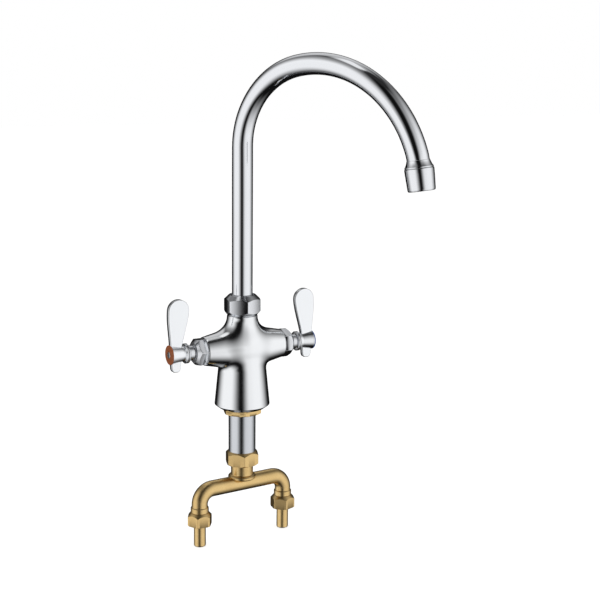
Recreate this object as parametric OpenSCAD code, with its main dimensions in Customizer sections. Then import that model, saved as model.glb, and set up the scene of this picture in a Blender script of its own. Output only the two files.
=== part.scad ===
// Single-hole double pantry tap: two quarter-turn valves in one cast body,
// a swivelling gooseneck spout above, a concentric shank and a two-legged
// supply yoke below. Millimetres, +Z up, origin on the deck plane at the
// centre of the body's foot. The arms lie along X, the user stands at -Y.

/* [Body casting] */
// Height of the arm axis above the deck
arm_h = 57; // [52:0.5:64]
// Half length of the arms, out to the bonnet hexagons
arm_len = 39.5; // [37:0.5:44]
// Radius of the arms at their ends
arm_r = 13.2; // [12.5:0.1:15]
// How fast the arms thicken towards the column, mm per mm
arm_taper = 0.22; // [0.1:0.01:0.3]
// Widest radius of the foot
foot_r = 25.7; // [24:0.1:28]
// Height of the widest ring, where the foot's undercut cone starts
foot_edge_h = 4.1; // [2:0.1:6]
// How fast the column narrows upwards, mm per mm
column_taper = 0.1; // [0.05:0.01:0.14]
// Radius of the neck under the spout nut
neck_r = 14.1; // [13.6:0.1:15]
// Height of the top of the neck
neck_top = 98; // [94:0.5:102]
// Size of the soft blend between the arms and the neck
blend_over = 13; // [6:0.5:16]
// Size of the tighter blend under the arms
blend_under = 5.5; // [4:0.5:12]

/* [Spout] */
// Outside radius of the spout tube
tube_r = 9.525; // [9:0.025:10]
// Wall of the spout tube
tube_wall = 1.1; // [0.8:0.1:1.6]
// Height where the riser starts to bend
riser_top = 241.5; // [200:1:280]
// Radius of the first, tighter bend
bend_r = 74.7; // [60:0.1:85]
// Radius of the second, wider bend
outer_bend_r = 105.3; // [90:0.1:115]
// Angle on the bend where the second radius takes over
bend_change = 103.2; // [95:0.1:115]
// Angle where the tube turns down into its tight last bend
end_bend_from = 19; // [16:0.5:30]
// Angle of the outlet, measured out from straight down
outlet_angle = 9.5; // [0:0.5:14]
// Direction of the spout at rest, measured from +X
spout_turn = -64.6; // [-180:0.1:180]
// Radius of the aerator housing at its top
aerator_r = 12.5; // [12.3:0.1:14]
// Length of the aerator housing
aerator_len = 19; // [16:0.5:22]

/* [Handles] */
// Distance from the body axis to the outer face of the index disc
handle_end = 73.7; // [72:0.1:76]
// Height of the blade's tip above the arm axis
blade_h = 50.4; // [40:0.1:60]
// Half width of the blade at its round head
blade_head = 10.2; // [8:0.1:12]
// Half width of the blade where it leaves the hub
blade_root = 5.3; // [4:0.1:6]
// Thickness of the blade
blade_t = 5; // [4:0.1:6]
// Length of the short tail below the arm axis
tail_h = 16.4; // [12:0.1:20]

/* [Shank and yoke] */
// Radius of the threaded shank
shank_r = 12.7; // [12.4:0.1:13]
// Depth of the shank nut's top face below the deck
shank_nut_top = 42.5; // [30:0.5:80]
// Spacing of the two supply tails
tail_spacing = 92; // [84:1:110]
// Turn of the yoke about the shank, relative to the arms
yoke_turn = 5; // [-180:1:180]
// Radius of the yoke's tube
yoke_r = 7.5; // [7:0.1:7.7]
// Radius of the supply tails
tail_r = 5.6; // [5.4:0.1:5.7]
// Length of each supply tail that stands below its nut
tail_len = 20; // [15:1:40]

/* [Hidden] */
$fn = 96;

chrome = "gainsboro";
bright_brass = "goldenrod";
plain_brass = "darkgoldenrod";
black_rubber = "dimgray";
ceramic = "ivory";

// Clearance that keeps two still pieces from sharing space
gap = 0.05;
// Clearance of a shaft that turns in its bore
run = 0.05;
// Overcut that carries a bore past the face it opens in
past = 1;

function clamp01(t) = max(0, min(1, t));
function ease(t) = let (c = clamp01(t)) c * c * (3 - 2 * c);

// A body of revolution from a list of [radius, height] points
module turned(points) {
    rotate_extrude() polygon(points);
}

// A plain ring or washer
module ring(ro, ri, z0, z1) {
    turned([[ri, z0], [ro, z0], [ro, z1], [ri, z1]]);
}

// An O-ring of the given outside radius and cord radius
module o_ring(outer, cord, z) {
    translate([0, 0, z]) rotate_extrude()
        translate([outer - cord, 0]) circle(cord);
}

// A hexagon nut blank from z0 to z1, its corners turned off by cones that
// start at rim0 and rim1 on the end faces and reach the corners after
// cut0 and cut1
module hex_blank(flats, z0, z1, rim0, rim1, cut0, cut1) {
    corner = flats / sqrt(3);
    intersection() {
        translate([0, 0, z0])
            cylinder(r = corner, h = z1 - z0, $fn = 6);
        turned([[0, z0], [rim0, z0], [corner, z0 + cut0],
            [corner, z1 - cut1], [rim1, z1], [0, z1]]);
    }
}

// The body's skin. The column's radius falls slowly from the foot and then
// in a smooth step to the neck.
column_step = [38, 84];
function column_radius(z) =
    let (cone = foot_r - column_taper * (z - foot_edge_h),
         s = ease((z - column_step[0]) / (column_step[1] - column_step[0])))
    cone * (1 - s) + neck_r * s;
function arm_radius(x) = arm_r + arm_taper * (arm_len - abs(x));
// Smooth minimum: the two distances melt into each other over the width k
function melt(a, b, k) =
    let (h = max(k - abs(a - b), 0) / k) min(a, b) - h * h * k / 4;
function blend(z) = blend_under
    + (blend_over - blend_under) * ease((z - arm_h + 10) / 16);
// How far a point lies outside the skin, below zero inside it
function skin(p) = melt(norm([p[0], p[1]]) - column_radius(p[2]),
    norm([p[1], p[2] - arm_h]) - arm_radius(p[0]), blend(p[2]));
// The skin runs on past every face that a plane or cone cuts later
skin_over = 9;
function skin_capped(p) = max(skin(p), -skin_over - p[2],
    p[2] - neck_top - skin_over, abs(p[0]) - arm_len - skin_over);
// Distance along a ray from the arm crossing to the skin, by bisection
function reach(dir, lo, hi, n) = n == 0 ? (lo + hi) / 2 :
    let (mid = (lo + hi) / 2)
    skin_capped([0, 0, arm_h] + mid * dir) < 0 ?
        reach(dir, mid, hi, n - 1) : reach(dir, lo, mid, n - 1);
skin_turns = 64;
skin_rows = 40;
skin_steps = 18;
// The rays stand closer together around the two arms
skin_crowd = 0.55;
function crowd(a) = a - skin_crowd * sin(2 * a) * 90 / PI;
function ray(i, j) =
    let (az = crowd(360 * i / skin_turns),
         el = crowd(-90 + 180 * j / skin_rows))
    [cos(el) * cos(az), cos(el) * sin(az), sin(el)];
function skin_point(dir) =
    [0, 0, arm_h] + reach(dir, 5, 120, skin_steps) * dir;

module body_skin() {
    rings = [for (j = [1 : skin_rows - 1], i = [0 : skin_turns - 1])
        skin_point(ray(i, j))];
    low = len(rings);
    high = low + 1;
    points = concat(rings, [skin_point([0, 0, -1]), skin_point([0, 0, 1])]);
    last = (skin_rows - 2) * skin_turns;
    walls = [for (j = [0 : skin_rows - 3], i = [0 : skin_turns - 1])
        let (a = j * skin_turns + i,
             b = j * skin_turns + (i + 1) % skin_turns)
        each [[a, a + skin_turns, b], [b, a + skin_turns, b + skin_turns]]];
    ends = [for (i = [0 : skin_turns - 1])
        let (k = (i + 1) % skin_turns)
        each [[low, i, k], [high, last + k, last + i]]];
    polyhedron(points, concat(walls, ends));
}

// The foot's undercut, the flat arm ends and the neck's top are turned
// or faced on the casting
foot_ring_r = 20.5;
foot_lip = 0.8;
neck_shoulder = 87.7;
neck_thread_r = 12.6;
module machined_envelope() {
    far = 60;
    rim = foot_r + 0.2;
    intersection() {
        turned([[0, 0], [foot_ring_r, 0],
            [rim - foot_lip, foot_edge_h - foot_lip],
            [rim - 0.2, foot_edge_h - 0.3], [rim, foot_edge_h],
            [far, foot_edge_h + 0.1], [far, neck_shoulder],
            [neck_thread_r, neck_shoulder], [neck_thread_r, neck_top],
            [0, neck_top]]);
        translate([-arm_len, -far, -past])
            cube([2 * arm_len, 2 * far, neck_top + 2 * past]);
    }
}

// Sockets and waterways inside the body
socket_r = 9;
seat_x = 14;
spout_bore_r = 10.95;
spout_bore_floor = 72;
shank_socket = 20;
tube_socket_top = 34;
inner_tube_r = 5;
module on_arm(side) {
    translate([0, 0, arm_h]) rotate([0, side * 90, 0]) children();
}
// A straight drilled hole between two points of the XZ plane
module drilled(from, to, r) {
    d = to - from;
    translate([from[0], 0, from[1]]) rotate([0, atan2(d[0], d[1]), 0])
        cylinder(r = r, h = norm(d));
}
gasket_r = 18.6;
gasket_t = 1.5;
module waterways() {
    translate([0, 0, -past])
        cylinder(r = gasket_r + 0.1, h = gasket_t + past);
    translate([0, 0, -past])
        cylinder(r = shank_r + gap, h = shank_socket + past);
    translate([0, 0, shank_socket - past]) cylinder(r = 10.4, h = 9);
    translate([0, 0, shank_socket])
        cylinder(r = inner_tube_r + gap, h = tube_socket_top - shank_socket);
    drilled([0, tube_socket_top - 3], [-8.5, arm_h], 3.4);
    drilled([8.5, 26], [8.5, arm_h], 3.4);
    translate([0, 0, spout_bore_floor])
        cylinder(r = spout_bore_r, h = neck_top - spout_bore_floor + past);
    for (side = [-1, 1]) {
        on_arm(side) {
            translate([0, 0, 8]) cylinder(r = 4, h = seat_x - 7);
            translate([0, 0, seat_x])
                cylinder(r = socket_r, h = arm_len - seat_x + past);
        }
        drilled([side * 17.5, arm_h + 5], [side * 5, 76], 2.8);
    }
}

module body() {
    color(chrome) difference() {
        intersection() {
            body_skin();
            machined_envelope();
        }
        waterways();
    }
}

// Under the deck. The gasket lies flush in its recess, and the rim of the
// foot round it stands on the deck
locknut_bottom = -5.6;
locknut_turn = 12;
module base_gasket() {
    color(black_rubber) ring(gasket_r, shank_r + gap, 0, gasket_t - gap);
}
module deck_locknut() {
    color(bright_brass) difference() {
        rotate([0, 0, locknut_turn]) hex_blank(32, locknut_bottom, -gap,
            16.4, 18.2, 1, 0.2);
        translate([0, 0, locknut_bottom - past])
            cylinder(r = shank_r + gap, h = 10);
    }
}

shank_bottom = -shank_nut_top - 8.9;
module shank() {
    color(chrome) turned([[10.4, shank_bottom], [shank_r - 0.8, shank_bottom],
        [shank_r, shank_bottom + 0.8], [shank_r, shank_socket - 0.1],
        [10.4, shank_socket - 0.1]]);
}

// The yoke hangs from the shank by a loose nut over its flange
washer_t = 1.2;
flange_t = 1.5;
flange_top = shank_bottom - washer_t;
nut_foot = -shank_nut_top - 13.7;
spigot_r = 10.4;
yoke_h = nut_foot - 18;
spigot_ring_r = 13;
yoke_nut_turn = 13;
inner_tube_foot = yoke_h + 9;
module shank_washer() {
    color(black_rubber) ring(12.3, 9.2, flange_top, shank_bottom);
}
module yoke_nut() {
    color(bright_brass) difference() {
        rotate([0, 0, yoke_nut_turn]) hex_blank(27.5, nut_foot, -shank_nut_top,
            14.6, 13.4, 1.4, 3);
        translate([0, 0, flange_top - flange_t - gap])
            cylinder(r = shank_r + gap, h = 30);
        translate([0, 0, nut_foot - past])
            cylinder(r = spigot_r + gap, h = 30);
    }
}
module inner_tube() {
    color(plain_brass) ring(inner_tube_r, inner_tube_r - 0.8,
        inner_tube_foot, tube_socket_top);
}

// The yoke: a bar with an elbow at each end, as one casting
elbow_r = 13;
leg_x = tail_spacing / 2;
collar_top = yoke_h - 16;
collar_r = 8.4;
collar_foot = collar_top - 4.4;
thread_r = 7.6;
leg_foot = collar_top - 12;
bore_r = 4.2;
riser_r = 1.5;
riser_ring = 7.9;
module elbow(r) {
    translate([leg_x - elbow_r, 0, yoke_h - elbow_r]) rotate([90, 0, 0])
        rotate_extrude(angle = 90) translate([elbow_r, 0]) circle(r);
}
module both_sides() {
    for (side = [0, 180]) rotate([0, 0, side]) children();
}
module lying(x0, x1, r) {
    translate([x0, 0, yoke_h]) rotate([0, 90, 0]) cylinder(r = r, h = x1 - x0);
}
module yoke() {
    color(bright_brass) rotate([0, 0, yoke_turn]) difference() {
        union() {
            turned([[0, yoke_h + 3.4], [spigot_ring_r - 1, yoke_h + 3.4],
                [spigot_ring_r, yoke_h + 4.4], [spigot_ring_r, yoke_h + 6],
                [spigot_ring_r - 1.2, yoke_h + 7.2],
                [spigot_r, yoke_h + 7.6], [spigot_r, flange_top - flange_t],
                [shank_r - 0.4, flange_top - flange_t],
                [shank_r - 0.4, flange_top], [0, flange_top]]);
            lying(elbow_r - leg_x, leg_x - elbow_r, yoke_r);
            both_sides() {
                elbow(yoke_r);
                translate([leg_x, 0, 0]) turned([[0, leg_foot],
                    [thread_r - 0.6, leg_foot], [thread_r, leg_foot + 0.6],
                    [thread_r, collar_foot], [collar_r, collar_foot],
                    [collar_r, collar_top - 0.6], [collar_r - 0.6, collar_top],
                    [yoke_r, collar_top + 0.8],
                    [yoke_r, yoke_h - elbow_r], [0, yoke_h - elbow_r]]);
            }
        }
        // Hot water: along the bar and up the middle
        lying(elbow_r - leg_x, 0, bore_r);
        translate([0, 0, yoke_h]) cylinder(r = bore_r, h = 30);
        translate([0, 0, inner_tube_foot])
            cylinder(r = inner_tube_r + gap, h = 30);
        // Cold water: along the bar and up three risers into the ring gap
        lying(riser_ring - 1, leg_x - elbow_r, bore_r);
        for (turn = [-26, 0, 26]) rotate([0, 0, turn])
            translate([riser_ring, 0, yoke_h]) cylinder(r = riser_r, h = 30);
        both_sides() {
            elbow(bore_r);
            translate([leg_x, 0, leg_foot - past])
                cylinder(r = bore_r, h = yoke_h - elbow_r - leg_foot + past);
        }
    }
}

// Supply unions, the same on both legs
union_top = collar_foot - 0.1;
union_foot = union_top - 13;
hot_union_turn = -73;
cold_union_turn = -45;
tail_flange_top = leg_foot - washer_t;
tail_foot = union_foot - tail_len;
// The hot supply stands at -X, the cold one at +X
module on_leg(side) {
    rotate([0, 0, yoke_turn]) translate([side * leg_x, 0, 0]) children();
}
tail_thread_r = tail_r - 0.2;
module union_nut(turn) {
    color(bright_brass) difference() {
        rotate([0, 0, turn]) hex_blank(20, union_foot, union_top,
            10.9, 8.7, 0.6, 3.6);
        translate([0, 0, tail_flange_top - flange_t - gap])
            cylinder(r = thread_r + gap, h = 30);
        translate([0, 0, union_foot - past])
            cylinder(r = tail_thread_r + gap, h = 30);
    }
}
module union_washer() {
    color(black_rubber) ring(7.3, 4.6, tail_flange_top, leg_foot);
}
module tailpiece() {
    color(bright_brass) turned([[4, tail_foot], [tail_r - 1.1, tail_foot],
        [tail_r - 0.3, tail_foot + 0.4], [tail_r, tail_foot + 1.2],
        [tail_r, union_foot - 0.4], [tail_thread_r, union_foot - 0.4],
        [tail_thread_r, tail_flange_top - flange_t],
        [7.3, tail_flange_top - flange_t], [7.3, tail_flange_top],
        [4, tail_flange_top]]);
}

// Spout seat: nut, sleeve, seals and bearing ring
spout_nut_foot = neck_shoulder + 0.3;
spout_nut_top = 106.3;
spout_nut_turn = 33.4;
sleeve_flange = [neck_top + 0.2, neck_top + 3];
nut_shoulder = 102.9;
tube_foot = 90;
sleeve_foot = 72.4;
seal_z = [76, 82];
seal_cord = 1.2;
module spout_nut() {
    color(chrome) difference() {
        rotate([0, 0, spout_nut_turn]) hex_blank(30.4, spout_nut_foot,
            spout_nut_top, 13.6, 12.5, 5, 3);
        translate([0, 0, spout_nut_foot - past])
            cylinder(r = neck_thread_r + gap,
                h = nut_shoulder - spout_nut_foot + past);
        cylinder(r = 11.35, h = 200);
    }
}
module spout_sleeve() {
    groove = spout_bore_r - run - 2 * seal_cord;
    color(plain_brass) turned([[6.4, sleeve_foot],
        [spout_bore_r - run - 0.6, sleeve_foot],
        [spout_bore_r - run, sleeve_foot + 0.6],
        for (z = seal_z) each [[spout_bore_r - run, z - 1.4],
            [groove, z - 1.4], [groove, z + 1.4],
            [spout_bore_r - run, z + 1.4]],
        [spout_bore_r - run, sleeve_flange[0]], [12.5, sleeve_flange[0]],
        [12.5, sleeve_flange[1]], [11, sleeve_flange[1]],
        [11, spout_nut_top - 0.8], [10.6, spout_nut_top - 0.1],
        [tube_r + 0.15, spout_nut_top + 0.8],
        [tube_r + gap, spout_nut_top + 0.8], [tube_r + gap, tube_foot],
        [6.4, tube_foot]]);
}
module spout_o_rings() {
    color(black_rubber) for (z = seal_z)
        o_ring(spout_bore_r - run, seal_cord, z);
}
module spout_bearing_ring() {
    color("white") difference() {
        ring(12.5, 11.1, sleeve_flange[1] + gap, nut_shoulder - 0.15);
        translate([0, -0.6, neck_top]) cube([20, 1.2, 10]);
    }
}

// The gooseneck runs up, over a tight bend, down a wider one and through a
// short last one. Where the radius changes, the old centre and the new one
// lie on one line with the tube
end_bend_r = 43;
function along(a, d) = d * [cos(a), sin(a)];
first_centre = [bend_r, riser_top];
bend_centre = first_centre + along(bend_change, bend_r - outer_bend_r);
end_centre = bend_centre + along(end_bend_from, outer_bend_r - end_bend_r);
spout_tip = end_centre + along(outlet_angle, end_bend_r);
module tube_bend(centre, r, from, to, outer) {
    translate([centre[0], 0, centre[1]]) rotate([90, 0, 0])
        rotate([0, 0, from]) difference() {
            rotate_extrude(angle = to - from) translate([r, 0]) circle(outer);
            rotate_extrude(angle = to - from) translate([r, 0])
                circle(outer - tube_wall);
        }
}
module in_spout_plane() {
    rotate([0, 0, spout_turn]) children();
}
// Frame of the outlet: local +Z runs out with the water
module at_outlet() {
    in_spout_plane() translate([spout_tip[0], 0, spout_tip[1]])
        rotate([0, 180 - outlet_angle, 0]) children();
}
// The tighter bends come out a hair slimmer than the rest of the tube
bend_thinning = 0.05;
module spout_tube() {
    color(chrome) in_spout_plane() {
        ring(tube_r, tube_r - tube_wall, tube_foot, riser_top);
        tube_bend(first_centre, bend_r, bend_change, 180,
            tube_r - bend_thinning);
        tube_bend(bend_centre, outer_bend_r, end_bend_from, bend_change,
            tube_r);
        tube_bend(end_centre, end_bend_r, outlet_angle, end_bend_from,
            tube_r - bend_thinning);
    }
}

// Outlet fitting and aerator, from the tube's end outwards
fitting_back = -1.5;
fitting_end = 5.1;
housing_end = fitting_end + aerator_len;
lip_r = aerator_r - 0.8;
module spout_end_fitting() {
    color(chrome) at_outlet() turned([[tube_r + gap, fitting_back],
        [tube_r + 0.35, fitting_back], [tube_r + 0.8, fitting_back + 1.6],
        [aerator_r - 0.9, fitting_end - 1.6], [aerator_r - 0.4, fitting_end],
        [11, fitting_end], [11, fitting_end + 6], [8.6, fitting_end + 6],
        [8.6, 0.1], [tube_r + gap, 0.1]]);
}
module aerator_housing() {
    color(chrome) at_outlet() turned([[11 + gap, fitting_end + gap],
        [aerator_r - 0.4, fitting_end + gap],
        [aerator_r, fitting_end + 0.7], [aerator_r - 0.1, fitting_end + 4],
        [lip_r, housing_end - 1.4], [lip_r - 0.4, housing_end - 0.4],
        [lip_r - 1.2, housing_end], [9.4, housing_end],
        [9.2, housing_end - 1], [11 + gap, housing_end - 1.6]]);
}
module aerator_washer() {
    color(black_rubber) at_outlet()
        ring(11, 7.6, fitting_end + 6.1, fitting_end + 8);
}
module aerator_insert() {
    far = housing_end - 1.7;
    near = fitting_end + 8.8;
    color("white") at_outlet() difference() {
        translate([0, 0, near]) cylinder(r = 10.9, h = far - near);
        for (i = [0 : 5], r = [3.4, 7.6])
            rotate([0, 0, 60 * i + 4 * r])
                translate([r, 0, near - past])
                    cylinder(r = r < 5 ? 1.2 : 2, h = far - near + 2 * past);
    }
}
module aerator_screen() {
    color("silver") at_outlet() difference() {
        translate([0, 0, fitting_end + 8.1]) cylinder(r = 10.9, h = 0.6);
        for (x = [-6 : 3 : 6], y = [-6 : 3 : 6]) if (norm([x, y]) < 8)
            translate([x - 1, y - 1, 0]) cube([2, 2, 40]);
    }
}

// Valves, drawn along local +Z with its zero on the body axis
shell_r = socket_r - gap;
disc_r = 7.5;
fixed_disc_z = [16.6, 20];
moving_disc_z = [20.02, 23.2];
stem_flange_z = [23.25, 26];
stem_r = 3.9;
hex_z = [arm_len, arm_len + 10.2];
bonnet_neck_r = 6.8;
bonnet_end = 57.3;
hub_z = [57.7, handle_end - 1.2];
square = 5.4;
square_end = 68.4;
screw_tip = 62;
screw_r = 1.95;
hot_hex_turn = 96;
cold_hex_turn = 52.6;
module bonnet(turn) {
    color(chrome) difference() {
        union() {
            rotate([0, 0, turn]) hex_blank(23.4, hex_z[0], hex_z[1],
                13.4, 9.6, 0.2, 3.6);
            turned([[0, 27], [disc_r, 27], [disc_r, 29.9], [shell_r, 29.9],
                [shell_r, hex_z[0] + 0.5], [0, hex_z[0] + 0.5]]);
            turned([[0, hex_z[1] - 1], [8.8, hex_z[1] - 1],
                [8.8, hex_z[1]], [7.4, hex_z[1] + 0.9],
                [bonnet_neck_r, hex_z[1] + 1.8],
                [bonnet_neck_r, bonnet_end - 0.5],
                [bonnet_neck_r - 0.5, bonnet_end], [0, bonnet_end]]);
        }
        cylinder(r = stem_r + run, h = 100);
        translate([0, 0, 36]) difference() {
            cylinder(r = 20, h = 2);
            translate([0, 0, -past]) cylinder(r = shell_r - 1.7, h = 4);
        }
    }
}
module bonnet_seal() {
    color(black_rubber) o_ring(shell_r, 0.85, 37);
}
module cartridge_shell() {
    color(plain_brass) difference() {
        turned([[6.1, 14.6], [shell_r, 14.6], [shell_r, 29.8],
            [disc_r + gap, 29.8], [disc_r + gap, fixed_disc_z[0] - gap],
            [6.1, fixed_disc_z[0] - gap]]);
        // Outlet windows beside the moving disc
        for (turn = [0, 90, 180, 270]) rotate([0, 0, turn])
            translate([5, -3, 20.6]) cube([10, 6, 2.2]);
    }
}
module seat_seal() {
    color(black_rubber) ring(6, 4.3, seat_x, fixed_disc_z[0] - gap);
}
// Two opposite windows through a ceramic disc
module disc_windows() {
    intersection() {
        difference() {
            circle(6.2);
            circle(1.6);
        }
        for (half = [0, 180]) rotate(half)
            polygon([[0, 0], [9, -7], [9, 7]]);
    }
}
module valve_disc(z, turn, slot) {
    color(ceramic) translate([0, 0, z[0]]) difference() {
        cylinder(r = disc_r - gap, h = z[1] - z[0]);
        translate([0, 0, -past]) linear_extrude(10) rotate(turn)
            disc_windows();
        if (slot) rotate([0, 0, turn + 90])
            translate([-5.1, -1.1, z[1] - z[0] - 1.2]) cube([10.2, 2.2, 3]);
    }
}
module stem() {
    color(plain_brass) difference() {
        union() {
            turned([[0, stem_flange_z[0]], [disc_r - 0.3, stem_flange_z[0]],
                [disc_r - 0.3, stem_flange_z[1]], [stem_r, stem_flange_z[1]],
                [stem_r, 43], [stem_r - 1.5, 43], [stem_r - 1.5, 45],
                [stem_r, 45], [stem_r, bonnet_end], [0, bonnet_end]]);
            translate([-5, -1, moving_disc_z[1] - 1])
                cube([10, 2, 1.5]);
            translate([-square / 2, -square / 2, bonnet_end - 1])
                cube([square, square, square_end - bonnet_end + 1]);
        }
        translate([0, 0, screw_tip - 2]) cylinder(r = screw_r + gap, h = 20);
    }
}
module stem_seal() {
    color(black_rubber) o_ring(stem_r, 0.75, 44);
}

// The handle: a turned hub with a flat blade above and a short tail below.
// blade_edge gives the blade's two sides at the height h.
head_z = handle_end - 9.3;
root_z = handle_end - 6.3;
head_h = blade_h - blade_head;
root_h = 6;
function blade_mid(h) =
    root_z + (head_z - root_z) * (h - root_h) / (head_h - root_h);
function blade_half(h) = blade_root
    + (blade_head - blade_root) * ease((h - root_h + 6) / (head_h - root_h + 6));
blade_steps = 8;
head_steps = 14;
module blade_outline(inset) {
    side = [for (i = [0 : blade_steps])
        root_h + (head_h - root_h) * i / blade_steps];
    rights = [for (h = side) [blade_mid(h) + blade_half(h) - inset, h]];
    head = [for (i = [1 : head_steps - 1]) let (a = 180 * i / head_steps)
        [head_z + (blade_head - inset) * cos(a),
         head_h + (blade_head - inset) * sin(a)]];
    lefts = [for (i = [blade_steps : -1 : 0])
        [blade_mid(side[i]) - blade_half(side[i]) + inset, side[i]]];
    polygon(concat([[root_z + blade_root - inset, 0]], rights, head, lefts,
        [[root_z - blade_root + inset, 0]]));
}
tail_half = 4.6;
module tail_outline(inset) {
    corner = 3;
    foot = tail_half - 0.9;
    polygon(concat([[root_z + tail_half - inset, 0]],
        [for (a = [0 : 22.5 : 90])
            [root_z + foot - corner + (corner - inset) * cos(a),
             corner - tail_h - (corner - inset) * sin(a)]],
        [for (a = [90 : 22.5 : 180])
            [root_z - foot + corner + (corner - inset) * cos(a),
             corner - tail_h - (corner - inset) * sin(a)]],
        [[root_z - tail_half + inset, 0]]));
}
// The blade's edges are broken by an inset layer on each face
module slab(inset, t) {
    rotate([90, 0, 0]) translate([0, 0, -t / 2]) linear_extrude(t) {
        blade_outline(inset);
        tail_outline(inset);
    }
}
edge_break = 0.7;
index_r = 8.9;
screw_seat = hub_z[1] - 1.2;
screw_head_r = 3;
module lever() {
    color(chrome) difference() {
        union() {
            slab(0, blade_t - 2 * edge_break);
            slab(edge_break, blade_t);
            rotate([0, 90, 0]) turned([[0, hub_z[0]], [7.7, hub_z[0]],
                [8.3, hub_z[0] + 0.6], [8.3, hub_z[0] + 2.2],
                [7.6, hub_z[0] + 2.9], [6.8, hub_z[0] + 3.1],
                [6.6, hub_z[0] + 4], [7.1, hub_z[0] + 8],
                [7.7, hub_z[1] - 3.4], [8.3, hub_z[1] - 1.4],
                [index_r, hub_z[1] - 0.3], [index_r, hub_z[1]],
                [0, hub_z[1]]]);
        }
        rotate([0, 90, 0]) {
            translate([-square / 2 - gap, -square / 2 - gap, hub_z[0] - past])
                cube([square + 2 * gap, square + 2 * gap,
                    square_end + 0.2 - hub_z[0] + past]);
            cylinder(r = screw_r + 0.15, h = 100);
            translate([0, 0, screw_seat])
                cylinder(r = screw_head_r + gap, h = 10);
            // The blade's foot is cut round where the index disc lies
            translate([0, 0, hub_z[1]])
                cylinder(r = index_r + gap, h = 10);
        }
    }
}
module index_disc(tint) {
    color(tint) rotate([0, 90, 0]) turned([[screw_head_r + gap, hub_z[1]],
        [index_r, hub_z[1]], [index_r, handle_end - 0.4],
        [index_r - 0.4, handle_end], [screw_head_r + 0.4, handle_end],
        [screw_head_r + gap, handle_end - 0.3]]);
}
module handle_screw() {
    color("silver") rotate([0, 90, 0]) difference() {
        turned([[0, screw_tip], [screw_r - 0.35, screw_tip],
            [screw_r, screw_tip + 0.5], [screw_r, screw_seat],
            [screw_head_r, screw_seat], [screw_head_r, handle_end],
            [screw_head_r - 0.5, handle_end + 0.4], [0, handle_end + 0.5]]);
        translate([0, 0, handle_end - 0.8]) cylinder(r = 1.4, h = 4, $fn = 6);
    }
}
module on_handle(side) {
    translate([0, 0, arm_h]) {
        if (side > 0) children();
        else mirror([1, 0, 0]) children();
    }
}

body();
base_gasket();
deck_locknut();
shank();
inner_tube();
shank_washer();
yoke_nut();
yoke();
on_leg(-1) union_nut(hot_union_turn);  // hot_union_nut
on_leg(1) union_nut(cold_union_turn);  // cold_union_nut
on_leg(-1) union_washer();  // hot_union_washer
on_leg(1) union_washer();  // cold_union_washer
on_leg(-1) tailpiece();  // hot_tailpiece
on_leg(1) tailpiece();  // cold_tailpiece
spout_nut();
spout_tube();
spout_sleeve();
spout_o_rings();
spout_bearing_ring();
spout_end_fitting();
aerator_housing();
aerator_washer();
aerator_insert();
aerator_screen();
on_arm(-1) bonnet(hot_hex_turn);  // hot_bonnet
on_arm(1) bonnet(cold_hex_turn);  // cold_bonnet
on_arm(-1) bonnet_seal();  // hot_bonnet_seal
on_arm(1) bonnet_seal();  // cold_bonnet_seal
on_arm(-1) cartridge_shell();  // hot_cartridge_shell
on_arm(1) cartridge_shell();  // cold_cartridge_shell
on_arm(-1) seat_seal();  // hot_seat_seal
on_arm(1) seat_seal();  // cold_seat_seal
on_arm(-1) valve_disc(fixed_disc_z, 0, false);  // hot_fixed_disc
on_arm(1) valve_disc(fixed_disc_z, 0, false);  // cold_fixed_disc
on_arm(-1) valve_disc(moving_disc_z, 90, true);  // hot_moving_disc
on_arm(1) valve_disc(moving_disc_z, 90, true);  // cold_moving_disc
on_arm(-1) stem();  // hot_stem
on_arm(1) stem();  // cold_stem
on_arm(-1) stem_seal();  // hot_stem_seal
on_arm(1) stem_seal();  // cold_stem_seal
on_handle(-1) lever();  // hot_lever
on_handle(1) lever();  // cold_lever
on_handle(-1) index_disc("sienna");  // hot_index_disc
on_handle(1) index_disc("royalblue");  // cold_index_disc
on_handle(-1) handle_screw();  // hot_handle_screw
on_handle(1) handle_screw();  // cold_handle_screw
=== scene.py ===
# %% [markdown]
# # A double pantry tap in chrome and brass
# The construction model of the tap is packed in one file, and every node in it
# already stands where the real piece stands. This lesson dresses that model: each
# piece that shows gets a smoother surface worked out with numpy, and each finish
# gets a material made of shader nodes. Lengths are written in millimetres, as on a
# drawing, and become metres only when a mesh is made.

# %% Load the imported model
import math

import bmesh
import bpy
import numpy as np
from mathutils import Matrix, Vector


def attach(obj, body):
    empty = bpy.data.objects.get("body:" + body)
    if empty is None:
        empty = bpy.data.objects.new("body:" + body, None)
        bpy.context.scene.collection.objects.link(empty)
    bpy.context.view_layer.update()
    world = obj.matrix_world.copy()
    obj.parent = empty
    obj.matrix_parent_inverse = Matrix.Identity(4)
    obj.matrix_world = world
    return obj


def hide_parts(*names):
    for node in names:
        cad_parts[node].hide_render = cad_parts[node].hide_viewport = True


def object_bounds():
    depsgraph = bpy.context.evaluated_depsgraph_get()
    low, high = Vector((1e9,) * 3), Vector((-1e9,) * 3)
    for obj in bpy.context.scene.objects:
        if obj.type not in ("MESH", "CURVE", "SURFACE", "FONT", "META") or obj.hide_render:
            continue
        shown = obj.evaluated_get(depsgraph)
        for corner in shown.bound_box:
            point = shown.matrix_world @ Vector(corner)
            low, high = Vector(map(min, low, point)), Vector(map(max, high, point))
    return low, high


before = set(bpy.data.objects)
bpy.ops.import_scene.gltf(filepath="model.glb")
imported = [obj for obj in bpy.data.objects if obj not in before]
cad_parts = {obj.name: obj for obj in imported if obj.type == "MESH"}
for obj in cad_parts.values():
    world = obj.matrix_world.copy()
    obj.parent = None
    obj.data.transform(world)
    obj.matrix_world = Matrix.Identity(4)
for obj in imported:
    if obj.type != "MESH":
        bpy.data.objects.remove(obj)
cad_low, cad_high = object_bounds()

MM = 0.001
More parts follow.
